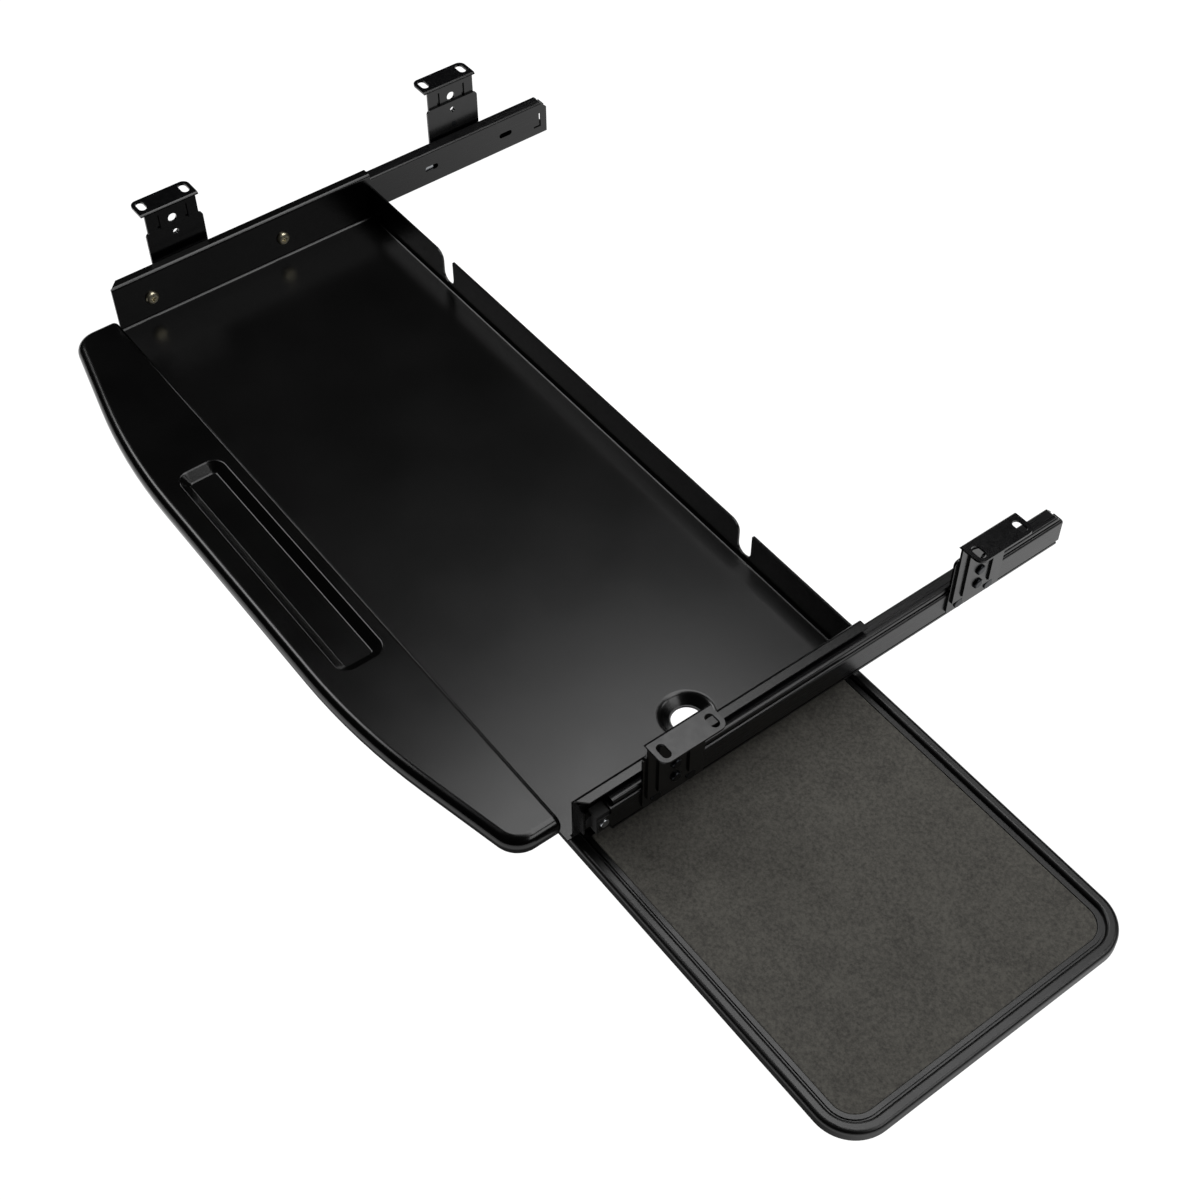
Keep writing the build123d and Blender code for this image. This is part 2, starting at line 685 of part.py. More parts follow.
    # Bumper held by one rivet on the tongue at the front of the runner
    with BuildPart() as bumper:
        block_front_y = runner_front_y - bumper_length + bumper_back
        with BuildSketch(Plane.XZ.offset(-block_front_y)):
            block_low = slide_z - bumper_height / 2
            strip(side, channel_out - bumper_thickness, channel_out, block_low, block_low + bumper_height)
        extrude(amount=-bumper_length)
        with BuildSketch(Plane.XZ.offset(-block_front_y)):
            nose_low = slide_z - bumper_nose_height / 2
            nose_in = channel_out - bumper_thickness
            strip(side, nose_in, nose_in + bumper_nose_width, nose_low, nose_low + bumper_nose_height)
        extrude(amount=bumper_nose)
        fillet(faces().sort_by(Axis.Y)[0].edges().filter_by(Axis.X), radius=bumper_nose_height / 3)
        with BuildSketch(Plane.YZ.offset(out_from_wall(side, channel_out))):
            with Locations((bumper_rivet_y, slide_z)):
                Circle(rivet_radius + shank_clearance)
        extrude(amount=-side * bumper_thickness, mode=Mode.SUBTRACT)
    bumper.part.label = name + "_bumper"
    export_step(bumper.part, "parts/" + name + "_bumper.step")

    with BuildPart() as bumper_rivet:
        with BuildSketch(Plane.YZ.offset(out_from_wall(side, runner_out))):
            with Locations((bumper_rivet_y, slide_z)):
                Circle(bumper_rivet_head_radius)
        extrude(amount=side * rivet_head_height)
        head_end = faces().sort_by(Axis.X)[-1 if side > 0 else 0]
        fillet(head_end.edges(), radius=rivet_head_height * 2 / 3)
        with BuildSketch(Plane.YZ.offset(out_from_wall(side, runner_out))):
            with Locations((bumper_rivet_y, slide_z)):
                Circle(rivet_radius)
        extrude(amount=-side * (slide_sheet + bumper_thickness))
    bumper_rivet.part.label = name + "_bumper_rivet"
    export_step(bumper_rivet.part, "parts/" + name + "_bumper_rivet.step")

    # Rivets that hold the hangers to the runner, a head on each face
    with BuildPart() as hanger_rivets:
        for face_out, direction in ((hanger_in + bracket_sheet, 1), (channel_out, -1)):
            with BuildSketch(Plane.YZ.offset(out_from_wall(side, face_out))):
                with Locations(*[(rivet_y, rivet_z) for rivet_y in rivet_ys]):
                    Circle(rivet_head_radius)
            extrude(amount=side * direction * rivet_head_height)
        with BuildSketch(Plane.YZ.offset(out_from_wall(side, channel_out))):
            with Locations(*[(rivet_y, rivet_z) for rivet_y in rivet_ys]):
                Circle(rivet_radius)
        extrude(amount=side * (slide_sheet + bracket_sheet))
        outermost = faces().filter_by(Axis.X).group_by(Axis.X)
        fillet(outermost[0].edges() + outermost[-1].edges(), radius=rivet_head_height * 2 / 3)
    hanger_rivets.part.label = name + "_hanger_rivets"
    export_step(hanger_rivets.part, "parts/" + name + "_hanger_rivets.step")

    # Screws that clamp each bracket web to its hanger
    screw_zs = [-(upper_hole_drop + step * hole_pitch) for step in (1, 2)]
    with BuildPart() as bracket_screws:
        with BuildSketch(Plane.YZ.offset(out_from_wall(side, web_out))):
            with Locations(*[(row_y, screw_z) for row_y in row_ys for screw_z in screw_zs]):
                Circle(bracket_screw_head_radius)
        extrude(amount=side * bracket_screw_head_height)
        head_ends = faces().filter_by(Axis.X).group_by(Axis.X)[-1 if side > 0 else 0]
        fillet(head_ends.edges(), radius=bracket_screw_head_height * 2 / 3)
        with BuildSketch(Plane.YZ.offset(out_from_wall(side, web_out))):
            with Locations(*[(row_y, screw_z) for row_y in row_ys for screw_z in screw_zs]):
                Circle(bracket_screw_radius)
        extrude(amount=-side * 2 * bracket_sheet)
    bracket_screws.part.label = name + "_bracket_screws"
    export_step(bracket_screws.part, "parts/" + name + "_bracket_screws.step")

    for place, row_y in zip(("front", "rear"), row_ys):
        bracket_name = place + "_" + name
        with BuildPart() as hanger:
            with BuildSketch(Plane.YZ.offset(out_from_wall(side, hanger_in))):
                hanger_top_z = hanger_top_margin - upper_hole_drop
                hanger_foot_z = rivet_z - hanger_bottom_margin
                with Locations((row_y, (hanger_top_z + hanger_foot_z) / 2)):
                    Rectangle(hanger_width, hanger_top_z - hanger_foot_z)
                fillet(vertices().group_by(Axis.Y)[-1], radius=hanger_corner)
                fillet(vertices().sort_by(Axis.Y)[:2], radius=hanger_corner)
                with Locations((row_y, -upper_hole_drop)):
                    Circle(spare_hole_radius, mode=Mode.SUBTRACT)
                with Locations(*[(row_y, screw_z) for screw_z in screw_zs]):
                    Circle(bracket_screw_radius + shank_clearance, mode=Mode.SUBTRACT)
                with Locations(*[(row_y + step * rivet_pair_spacing / 2, rivet_z) for step in (-1, 1)]):
                    Circle(rivet_radius + shank_clearance, mode=Mode.SUBTRACT)
            extrude(amount=side * bracket_sheet)
        hanger.part.label = "hanger_" + bracket_name
        export_step(hanger.part, "parts/hanger_" + bracket_name + ".step")

        with BuildPart() as bracket:
            with BuildSketch(Plane.YZ.offset(out_from_wall(side, web_in))):
                with Locations((row_y, web_bottom_z / 2)):
                    Rectangle(web_width, -web_bottom_z)
                with Locations((row_y, -access_hole_drop)):
                    Circle(access_hole_radius, mode=Mode.SUBTRACT)
                with Locations((row_y, -upper_hole_drop)):
                    Circle(spare_hole_radius, mode=Mode.SUBTRACT)
                with Locations(*[(row_y, screw_z) for screw_z in screw_zs]):
                    Circle(bracket_screw_radius + shank_clearance, mode=Mode.SUBTRACT)
            extrude(amount=side * bracket_sheet)
            flange_x = out_from_wall(side, web_in + flange_reach / 2)
            with BuildSketch():
                with Locations((flange_x, row_y)):
                    Rectangle(flange_reach, flange_length)
                outer_corners = vertices().group_by(Axis.X)[-1 if side > 0 else 0]
                fillet(outer_corners, radius=flange_corner)
                slot_x = out_from_wall(side, web_in + desk_slot_from_web)
                with Locations((slot_x, row_y)):
                    with GridLocations(0, desk_slot_spacing, 1, 2):
                        SlotOverall(desk_slot_length, desk_slot_width, mode=Mode.SUBTRACT)
            extrude(amount=-bracket_sheet)
            fold_x = out_from_wall(side, web_in)
            fold = edges().filter_by(Axis.Y).filter_by_position(Axis.Z, -near, near)
            fillet(fold.filter_by_position(Axis.X, fold_x - near, fold_x + near), radius=flange_bend)

            # Two ribs pressed outwards, each running into a gusset under the flange
            for rib_side in (-1, 1):
                rib_y = row_y + rib_side * rib_spacing / 2
                rib_low_z = web_bottom_z + rib_bottom_gap
                with BuildSketch(Plane.XZ.offset(-(rib_y + rib_width / 2))):
                    with BuildLine():
                        Polyline(
                            (out_from_wall(side, web_out), -bracket_sheet),
                            (out_from_wall(side, web_out + gusset_reach), -bracket_sheet),
                            (out_from_wall(side, web_out + rib_height), -bracket_sheet - gusset_reach),
                            (out_from_wall(side, web_out + rib_height), rib_low_z + rib_height),
                            (out_from_wall(side, web_out), rib_low_z),
                            close=True,
                        )
                    make_face()
                extrude(amount=rib_width)
                with BuildSketch(Plane.YZ.offset(out_from_wall(side, web_in))):
                    groove_top_z = -bracket_sheet - rib_top_gap
                    groove_low_z = rib_low_z + rib_height
                    with Locations((rib_y, (groove_top_z + groove_low_z) / 2)):
                        Rectangle(rib_groove_width, groove_top_z - groove_low_z)
                extrude(amount=side * rib_groove_depth, mode=Mode.SUBTRACT)
        bracket.part.label = "bracket_" + bracket_name
        export_step(bracket.part, "parts/bracket_" + bracket_name + ".step")

# Mouse tray: its inner end reaches under the right wall of the keyboard tray
bar_thickness = guide_height - 2 * guide_sheet - 2 * bar_clearance
guide_width = bar_width + 2 * bar_clearance + 2 * guide_sheet
guide_half = tray_half - guide_end_gap
guide_foot_z = floor_under_z - guide_height
bar_top_z = floor_under_z - guide_sheet - bar_clearance
bar_foot_z = bar_top_z - bar_thickness
bar_right_x = guide_half - stop_block_length - stop_gap
bar_left_x = mouse_travel - bar_right_x
guide_front_y = tray_front_y + guide_from_front
guide_rear_y = rear_wall_y - guide_from_rear
guide_ys = (("front", guide_front_y), ("rear", guide_rear_y))
pan_outer_x = tray_half + pan_reach
pan_inner_x = pan_outer_x - pan_width
pan_front_y = tray_front_y + pan_front_gap
pan_rear_y = rear_wall_y + pan_rear_overhang
pan_depth = pan_rear_y - pan_front_y
pan_mid_y = (pan_front_y + pan_rear_y) / 2
pan_top_z = guide_foot_z - pan_gap
pan_foot_z = pan_top_z - pan_height
ledge_z = pan_top_z - pan_ledge_drop
pad_seat_z = ledge_z - pad_thickness
cavity_z = pad_seat_z - pan_floor
groove_inset = pan_bead + pan_groove
pad_inset = groove_inset + pan_ledge
neck_x = bar_right_x - neck_margin - neck_length / 2
neck_screw_xs = (neck_x - bar_screw_spacing / 2, neck_x + bar_screw_spacing / 2)
neck_screw_places = [(screw_x, guide_y) for place, guide_y in guide_ys for screw_x in neck_screw_xs]


def draw_pan_outline(inset, inner_inset):
    """Rounded outline of the pan, drawn in by one inset and by another at its inner end."""
    left_x = pan_inner_x + inner_inset
    right_x = pan_outer_x - inset
    with Locations(((left_x + right_x) / 2, pan_mid_y)):
        Rectangle(right_x - left_x, pan_depth - 2 * inset)
    fillet(vertices().group_by(Axis.X)[-1], radius=pan_corner - inset)
    fillet(vertices().group_by(Axis.X)[0], radius=max(pan_inner_corner - inset, pan_groove))


with BuildSketch() as inside_groove:
    draw_pan_outline(groove_inset, groove_inset)

with BuildSketch() as inside_bead:
    draw_pan_outline(pan_bead - pan_bead_wall, -overrun)

with BuildPart() as mouse_tray:
    with BuildSketch(Plane.XY.offset(pan_foot_z)):
        draw_pan_outline(0, 0)
    extrude(amount=pan_height)
    fillet(faces().sort_by(Axis.Z)[-1].edges(), radius=pan_edge_round)
    fillet(faces().sort_by(Axis.Z)[0].edges(), radius=pan_foot_round)

    # The well inside the bead, the groove round it and the seat of the pad
    with BuildSketch(Plane.XY.offset(ledge_z)):
        draw_pan_outline(pan_bead, pan_bead)
    extrude(amount=pan_ledge_drop + overrun, mode=Mode.SUBTRACT)
    crest = faces().sort_by(Axis.Z)[-1].inner_wires()[0].edges()
    fillet(crest, radius=pan_bead_round)
    with BuildSketch(Plane.XY.offset(ledge_z)):
        draw_pan_outline(pan_bead, pan_bead)
        add(inside_groove.sketch, mode=Mode.SUBTRACT)
    extrude(amount=-pan_groove_depth, mode=Mode.SUBTRACT)
    with BuildSketch(Plane.XY.offset(ledge_z)):
        draw_pan_outline(pad_inset, pan_land)
    extrude(amount=-pad_thickness, mode=Mode.SUBTRACT)

    # Hollow underside: cells between ribs, and a deeper channel inside the bead
    with BuildSketch(Plane.XY.offset(pan_foot_z)):
        draw_pan_outline(pan_wall, pan_wall)
        with Locations(((pan_inner_x + pan_outer_x) / 2, pan_mid_y)):
            with GridLocations(pan_rib_pitch, 0, pan_ribs_across, 1):
                Rectangle(pan_rib, pan_depth, mode=Mode.SUBTRACT)
        with Locations(((pan_inner_x + pan_outer_x) / 2, (guide_front_y + guide_rear_y) / 2)):
            rib_span = guide_rear_y - guide_front_y - 2 * pan_rib_from_guide
            with GridLocations(0, rib_span / (pan_ribs_along - 1), 1, pan_ribs_along):
                Rectangle(pan_width, pan_rib, mode=Mode.SUBTRACT)
    extrude(amount=cavity_z - pan_foot_z, mode=Mode.SUBTRACT)
    with BuildSketch(Plane.XY.offset(cavity_z)):
        draw_pan_outline(pan_wall, pan_wall)
        add(inside_bead.sketch, mode=Mode.SUBTRACT)
    extrude(amount=pan_top_z - pan_wall - cavity_z, mode=Mode.SUBTRACT)

    # Necks that reach up through the slots of the guides to the bars
    with BuildSketch(Plane.XY.offset(ledge_z - pan_groove_depth)):
        with Locations(*[(neck_x, guide_y) for place, guide_y in guide_ys]):
            SlotOverall(neck_length, neck_width)
    extrude(amount=bar_foot_z - ledge_z + pan_groove_depth)
    with BuildSketch(Plane.XY.offset(bar_foot_z)):
        with Locations(*neck_screw_places):
            Circle(bar_screw_radius + shank_clearance)
    extrude(amount=pan_foot_z - bar_foot_z, mode=Mode.SUBTRACT)
mouse_tray.part.label = "mouse_tray"
export_step(mouse_tray.part, "parts/mouse_tray.step")

with BuildPart() as mouse_pad:
    with BuildSketch(Plane.XY.offset(pad_seat_z)):
        draw_pan_outline(pad_inset + pad_clearance, pan_land + pad_clearance)
    extrude(amount=pad_thickness)
mouse_pad.part.label = "mouse_pad"
export_step(mouse_pad.part, "parts/mouse_pad.step")

for place, guide_y in guide_ys:
    with BuildPart() as guide:
        with BuildSketch(Plane.YZ.offset(-guide_half)):
            with Locations((guide_y, (floor_under_z + guide_foot_z) / 2)):
                Rectangle(guide_width, guide_height)
                Rectangle(guide_width - 2 * guide_sheet, guide_height - 2 * guide_sheet, mode=Mode.SUBTRACT)
            with Locations((guide_y, guide_foot_z)):
                Rectangle(guide_slot, 2 * guide_sheet, mode=Mode.SUBTRACT)
        extrude(amount=2 * guide_half)
    guide.part.label = "mouse_guide_" + place
    export_step(guide.part, "parts/mouse_guide_" + place + ".step")

    with BuildPart() as bar:
        with BuildSketch(Plane.XY.offset(bar_foot_z)):
            with Locations(((bar_left_x + bar_right_x) / 2, guide_y)):
                Rectangle(bar_right_x - bar_left_x, bar_width)
            with Locations(*[(screw_x, guide_y) for screw_x in neck_screw_xs]):
                Circle(bar_screw_radius + shank_clearance, mode=Mode.SUBTRACT)
        extrude(amount=bar_thickness)
    bar.part.label = "mouse_bar_" + place
    export_step(bar.part, "parts/mouse_bar_" + place + ".step")

with BuildPart() as guide_stops:
    block_width = guide_width - 2 * guide_sheet - 2 * stop_block_clearance
    with BuildSketch(Plane.XY.offset(floor_under_z - guide_sheet - stop_block_clearance)):
        for end in (-1, 1):
            block_x = end * (guide_half - stop_block_length / 2)
            with Locations(*[(block_x, guide_y) for place, guide_y in guide_ys]):
                Rectangle(stop_block_length, block_width)
    extrude(amount=-(guide_height - 2 * guide_sheet - 2 * stop_block_clearance))
guide_stops.part.label = "guide_stops"
export_step(guide_stops.part, "parts/guide_stops.step")

with BuildPart() as mouse_bar_screws:
    with BuildSketch(Plane.XY.offset(cavity_z)):
        with Locations(*neck_screw_places):
            Circle(bar_screw_head_radius)
    extrude(amount=-bar_screw_head_height)
    fillet(faces().group_by(Axis.Z)[0].edges(), radius=bar_screw_head_height / 2)
    with BuildSketch(Plane.XY.offset(cavity_z)):
        with Locations(*neck_screw_places):
            Circle(bar_screw_radius)
    extrude(amount=bar_top_z - cavity_z)
mouse_bar_screws.part.label = "mouse_bar_screws"
export_step(mouse_bar_screws.part, "parts/mouse_bar_screws.step")
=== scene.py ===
from math import pi, radians

import bpy
import numpy as np
from mathutils import Matrix, Vector


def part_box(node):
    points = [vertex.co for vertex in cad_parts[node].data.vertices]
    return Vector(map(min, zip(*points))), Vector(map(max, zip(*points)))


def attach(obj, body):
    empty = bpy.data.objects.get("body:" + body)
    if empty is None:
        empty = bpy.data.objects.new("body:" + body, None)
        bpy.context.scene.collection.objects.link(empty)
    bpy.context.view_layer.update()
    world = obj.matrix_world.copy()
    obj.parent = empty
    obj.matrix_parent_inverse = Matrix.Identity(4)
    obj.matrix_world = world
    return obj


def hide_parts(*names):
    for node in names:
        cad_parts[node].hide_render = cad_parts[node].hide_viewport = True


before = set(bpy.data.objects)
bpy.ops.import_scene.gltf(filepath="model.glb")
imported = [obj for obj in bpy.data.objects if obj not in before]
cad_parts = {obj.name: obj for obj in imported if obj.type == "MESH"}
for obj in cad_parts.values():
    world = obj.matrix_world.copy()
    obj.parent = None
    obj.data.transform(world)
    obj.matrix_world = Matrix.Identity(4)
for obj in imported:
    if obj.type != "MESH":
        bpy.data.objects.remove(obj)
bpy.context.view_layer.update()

# The camera stands above the front of the mouse tray and looks down across the keyboard tray to its far left
# end. Its place, aim and lens were fitted together with the sizes of the object.
camera_place = Vector((0.71131, -0.49614, 0.79339))
camera_target = Vector((0.13033, -0.05724, -0.070))
camera_lean = radians(-0.217)
camera_lens = 57.15
camera_sensor = 36.0

camera = bpy.data.objects.new("camera", bpy.data.cameras.new("camera"))
camera.data.lens = camera_lens
camera.data.sensor_width = camera_sensor
camera.rotation_mode = "QUATERNION"
camera.location = camera_place
aim = (camera_target - camera_place).to_track_quat("-Z", "Y")
camera.rotation_quaternion = aim @ Matrix.Rotation(camera_lean, 3, "Z").to_quaternion()
bpy.context.scene.collection.objects.link(camera)
bpy.context.scene.camera = camera
bpy.context.scene.view_settings.view_transform = "Standard"


# The studio: white paper well below the hung tray, in a dark room with level softboxes near its ceiling.
# A black tray shows only their reflection: the key one in its floor, the front and rear ones along the palm
# rest, the others in edges, dish and screw heads. The fill one isn't mirrored and lights the cloth.
floor_height = -0.6
floor_reach = 6.0
floor_glow = 0.97
# Where the painted shade of the tray lies on the paper's mirrored glow: its centre, and where it starts and
# ends.
painted_shade_centre = (0.15, -0.15, floor_height)
painted_shade_start = 0.4
painted_shade_end = 0.78
room_grey = 0.015
softbox_height = 1.93


def linear(code):
    """A colour written as sRGB hex, turned to the linear values that shaders take."""
    shares = np.array([int(code[i:i + 2], 16) for i in (1, 3, 5)]) / 255
    low = shares / 12.92
    high = ((shares + 0.055) / 1.055) ** 2.4
    return (*np.where(shares <= 0.04045, low, high), 1.0)


def empty_tree(owner):
    """The node tree of a material or world, with nothing in it."""
    owner.use_nodes = True
    owner.node_tree.nodes.clear()
    return owner.node_tree


def add(tree, kind, inputs=(), **settings):
    """Adds one shader node. An input given as (node, output) is linked, and any other value is set."""
    node = tree.nodes.new("ShaderNode" + kind)
    for name, value in settings.items():
        setattr(node, name, value)
    for name, value in dict(inputs).items():
        if isinstance(value, tuple) and isinstance(value[0], bpy.types.Node):
            tree.links.new(value[0].outputs[value[1]], node.inputs[name])
        else:
            node.inputs[name].default_value = value
    return node


def softbox(name, low, high, radiance, mirrored=True):
    """A level rectangular lamp between two corners. Its power is pi x area x radiance."""
    lamp = bpy.data.lights.new(name, "AREA")
    lamp.shape = "RECTANGLE"
    lamp.size = high[0] - low[0]
    lamp.size_y = high[1] - low[1]
    lamp.energy = pi * lamp.size * lamp.size_y * radiance
    holder = bpy.data.objects.new(name, lamp)
    holder.location = ((low[0] + high[0]) / 2, (low[1] + high[1]) / 2, softbox_height)
    holder.visible_glossy = mirrored
    bpy.context.scene.collection.objects.link(holder)


softbox("key_softbox", (-1.0, 0.27), (1.12, 1.01), 4.0)
softbox("back_softbox", (0.9, 1.53), (2.0, 2.53), 3.0)
softbox("rear_softbox", (-5.6, 3.43), (-3.2, 6.73), 3.0)
softbox("front_softbox", (-2.6, -1.03), (-0.9, -0.31), 5.6)
softbox("right_softbox", (1.64, 0.13), (3.4, 1.73), 3.2)
softbox("fill_softbox", (-2.0, -2.0), (2.0, 1.8), 0.61, mirrored=False)

# The camera sees the room as white, and everything else sees it nearly black.
world = bpy.data.worlds.new("dark_room")
tree = empty_tree(world)
rays = add(tree, "LightPath")
shown = add(tree, "Math", {0: (rays, "Is Camera Ray"), 1: room_grey}, operation="MAXIMUM")
walls = add(tree, "Background", {"Color": linear("#ffffff"), "Strength": (shown, "Value")})
add(tree, "OutputWorld", {"Surface": (walls, "Background")})
bpy.context.scene.world = world

# The paper is grey to the lamps and glows white to the camera. Mirrored, its glow fades out below the tray:
# a painted shade that stands in for the tray's shadow on the paper, seen only in reflections.
paper = bpy.data.materials.new("white_paper")
tree = empty_tree(paper)
matt = add(tree, "BsdfDiffuse", {"Color": linear("#6a6a6a")})
rays = add(tree, "LightPath")
spot = add(tree, "TexCoord")
away = add(tree, "VectorMath", {0: (spot, "Object"), 1: painted_shade_centre}, operation="DISTANCE")
painted_shade_fade = add(tree, "MapRange", {"Value": (away, "Value"), "From Min": painted_shade_start, "From Max": painted_shade_end})
mirrored = add(tree, "Math", {0: (painted_shade_fade, "Result"), 1: (rays, "Is Glossy Ray")}, operation="MULTIPLY")
seen = add(tree, "Math", {0: (mirrored, "Value"), 1: (rays, "Is Camera Ray")}, operation="ADD")
share = add(tree, "Math", {0: (seen, "Value"), 1: floor_glow}, operation="MULTIPLY")
glow = add(tree, "Emission", {"Color": linear("#ffffff"), "Strength": (share, "Value")})
both = add(tree, "AddShader", {0: (matt, "BSDF"), 1: (glow, "Emission")})
add(tree, "OutputMaterial", {"Surface": (both, "Shader")})

corners = np.array([(-1, -1), (1, -1), (1, 1), (-1, 1)]) * floor_reach
floor_mesh = bpy.data.meshes.new("paper_floor")
floor_mesh.from_pydata([(x, y, floor_height) for x, y in corners], [], [(0, 1, 2, 3)])
floor_mesh.materials.append(paper)
floor = bpy.data.objects.new("paper_floor", floor_mesh)
bpy.context.scene.collection.objects.link(floor)


# Keyboard tray: one pressing of 1.2 mm sheet steel, folded up and powder coated black.
# The coat flows out in the oven to a satin skin with a fine orange peel. Its sheen wanders from place to
# place, and the odd speck of dust is baked in.
peel_width = 0.0013
peel_depth = 0.00004
sheen_patch = 0.06
speck_spacing = 0.012
speck_crown = 0.00024
speck_foot = 0.00042


def start_finish(name, colour, roughness, **sockets):
    """A new material with one shader in a plain colour. Returns the material, its tree and the shader."""
    material = bpy.data.materials.new(name)
    tree = empty_tree(material)
    values = {"Base Color": linear(colour), "Roughness": roughness}
    values.update({key.replace("_", " "): value for key, value in sockets.items()})
    shader = add(tree, "BsdfPrincipled", values)
    add(tree, "OutputMaterial", {"Surface": (shader, "BSDF")})
    return material, tree, shader


def own_place(tree):
    """The piece's own coordinates in metres, ready to be linked."""
    return add(tree, "TexCoord"), "Object"


def noise(tree, size, detail, roughness=0.5, place=None):
    """Noise with patches of a real size in metres, ready to be linked."""
    inputs = {"Vector": place or own_place(tree), "Scale": 1 / size, "Detail": detail, "Roughness": roughness}
    return add(tree, "TexNoise", inputs), "Fac"


def roughen(tree, shader, pattern, low, high, start=0.0, end=1.0):
    """Runs the roughness from low to high while the pattern runs from start to end."""
    limits = {"From Min": start, "From Max": end, "To Min": low, "To Max": high}
    tone = add(tree, "MapRange", {"Value": pattern, **limits})
    tree.links.new(tone.outputs["Result"], shader.inputs["Roughness"])


def emboss(tree, shader, pattern, depth, strength=0.5, **settings):
    """Bumps the shader's normal by the pattern, with a depth in metres."""
    relief = add(tree, "Bump", {"Height": pattern, "Strength": strength, "Distance": depth}, **settings)
    tree.links.new(relief.outputs["Normal"], shader.inputs["Normal"])


def dress(material, *names):
    """Gives the imported pieces their finish: each material slot of each named node takes the material."""
    for name in names:
        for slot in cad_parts[name].material_slots:
            slot.material = material


powder_coat, tree, shader = start_finish("black_powder_coat", "#020202", 0.24, IOR=1.5)
patches = noise(tree, sheen_patch, 4.0)
roughen(tree, shader, patches, 0.22, 0.26, start=0.3, end=0.7)
peel = noise(tree, peel_width, 2.0)
specks = add(tree, "TexVoronoi", {"Vector": own_place(tree), "Scale": 1 / speck_spacing})
slope = {"From Min": speck_crown / speck_spacing, "From Max": speck_foot / speck_spacing}
speck = add(tree, "MapRange", {"Value": (specks, "Distance"), **slope, "To Min": 1.0, "To Max": 0.0})
height = add(tree, "Math", {0: peel, 1: (speck, "Result")}, operation="ADD")
emboss(tree, shader, (height, "Value"), peel_depth)
dress(powder_coat, "keyboard_tray")


# Palm rest: a moulded ABS shell, screwed on from below, black right through and glossier than the tray.
# The tool was finely stoned, which leaves a faint even grain over a clear soft reflection. The grain is drawn
# coarser than the real one, so that it holds at this distance.
stoned_grain = 0.0008
stoned_depth = 0.000008
shrink_wave = 0.045

abs_gloss, tree, shader = start_finish("stoned_gloss_abs", "#020202", 0.2, IOR=1.53, Specular_IOR_Level=0.4)
waves = noise(tree, shrink_wave, 2.0)
roughen(tree, shader, waves, 0.18, 0.22, start=0.3, end=0.7)
grain = noise(tree, stoned_grain, 2.0)
emboss(tree, shader, grain, stoned_depth)
dress(abs_gloss, "palm_rest")


# Slides: channels and runners rolled from strip steel and dipped black, with drawn lines along their length.
# Ball cages and rivets are bright zinc, the balls polished, and the screws into the tray wall have a straw
# coloured yellow zinc film that shifts a little. A rubber bumper sits in the front end of each runner.
roll_line = 0.0011
roll_stretch = 0.05
roll_depth = 0.000012
spangle_patch = 0.003
grease_smear = 0.0012
film_patch = 0.004
bloom_patch = 0.002
bloom_depth = 0.00004
sides = ("left", "right")


def tint(tree, shader, pattern, dark, light):
    """Runs the base colour from a dark to a light hex colour with the pattern."""
    mix = add(tree, "MixRGB", {"Fac": pattern, "Color1": linear(dark), "Color2": linear(light)})
    tree.links.new(mix.outputs["Color"], shader.inputs["Base Color"])


black_strip, tree, shader = start_finish("black_dipped_strip_steel", "#030304", 0.3, IOR=1.5)
along = add(tree, "Mapping", {"Vector": own_place(tree), "Scale": (1.0, roll_stretch, 1.0)})
lines = noise(tree, roll_line, 3.0, place=(along, "Vector"))
roughen(tree, shader, lines, 0.2, 0.38)
emboss(tree, shader, lines, roll_depth)
dress(black_strip, *[side + part for side in sides for part in ("_channel", "_runner")])

bright_zinc, tree, shader = start_finish("bright_zinc_plate", "#b4b7ba", 0.32, Metallic=1.0)
spangle = noise(tree, spangle_patch, 4.0)
roughen(tree, shader, spangle, 0.22, 0.44)
tint(tree, shader, spangle, "#a3a6aa", "#c4c7c9")
dress(bright_zinc, *[side + part for side in sides for part in ("_ball_retainer", "_bumper_rivet")])

ball_steel, tree, shader = start_finish("polished_ball_steel", "#d4d6d9", 0.08, Metallic=1.0)
grease = noise(tree, grease_smear, 2.0)
roughen(tree, shader, grease, 0.04, 0.2)
dress(ball_steel, *[side + "_balls" for side in sides])

yellow_zinc, tree, shader = start_finish("yellow_zinc_plate", "#c9bf9f", 0.3, Metallic=1.0)
film = noise(tree, film_patch, 3.0)
roughen(tree, shader, film, 0.26, 0.44)
tint(tree, shader, film, "#cfc8ac", "#e6dec6")
dress(yellow_zinc, *[side + "_slide_screws" for side in sides])

rubber, tree, shader = start_finish("moulded_black_rubber", "#060606", 0.6, IOR=1.52)
bloom = noise(tree, bloom_patch, 3.0)
tint(tree, shader, bloom, "#040404", "#0a0a0a")
emboss(tree, shader, bloom, bloom_depth, strength=0.4)
dress(rubber, *[side + "_bumper" for side in sides])


# Brackets and hangers: pressed steel plates, dipped in black lacquer and then screwed together in pairs.
# The lacquer is thinner and smoother than the tray's coat. Screws and rivets are black zinc, a shade lighter
# and shinier.
lacquer_wave = 0.004
lacquer_depth = 0.00002
smut_patch = 0.002
ends = ("front", "rear")

black_lacquer, tree, shader = start_finish("black_dipped_lacquer", "#020203", 0.3, IOR=1.5)
runs = noise(tree, lacquer_wave, 3.0)
roughen(tree, shader, runs, 0.18, 0.3)
emboss(tree, shader, runs, lacquer_depth)
dress(black_lacquer, *["bracket_" + end + "_" + side for end in ends for side in sides])
dress(black_lacquer, *["hanger_" + end + "_" + side for end in ends for side in sides])

black_zinc, tree, shader = start_finish("black_zinc_plate", "#26272a", 0.3, Metallic=1.0)
smut = noise(tree, smut_patch, 3.0)
tint(tree, shader, smut, "#1b1c1e", "#333538")
dress(black_zinc, *[side + part for side in sides for part in ("_hanger_rivets", "_bracket_screws")])


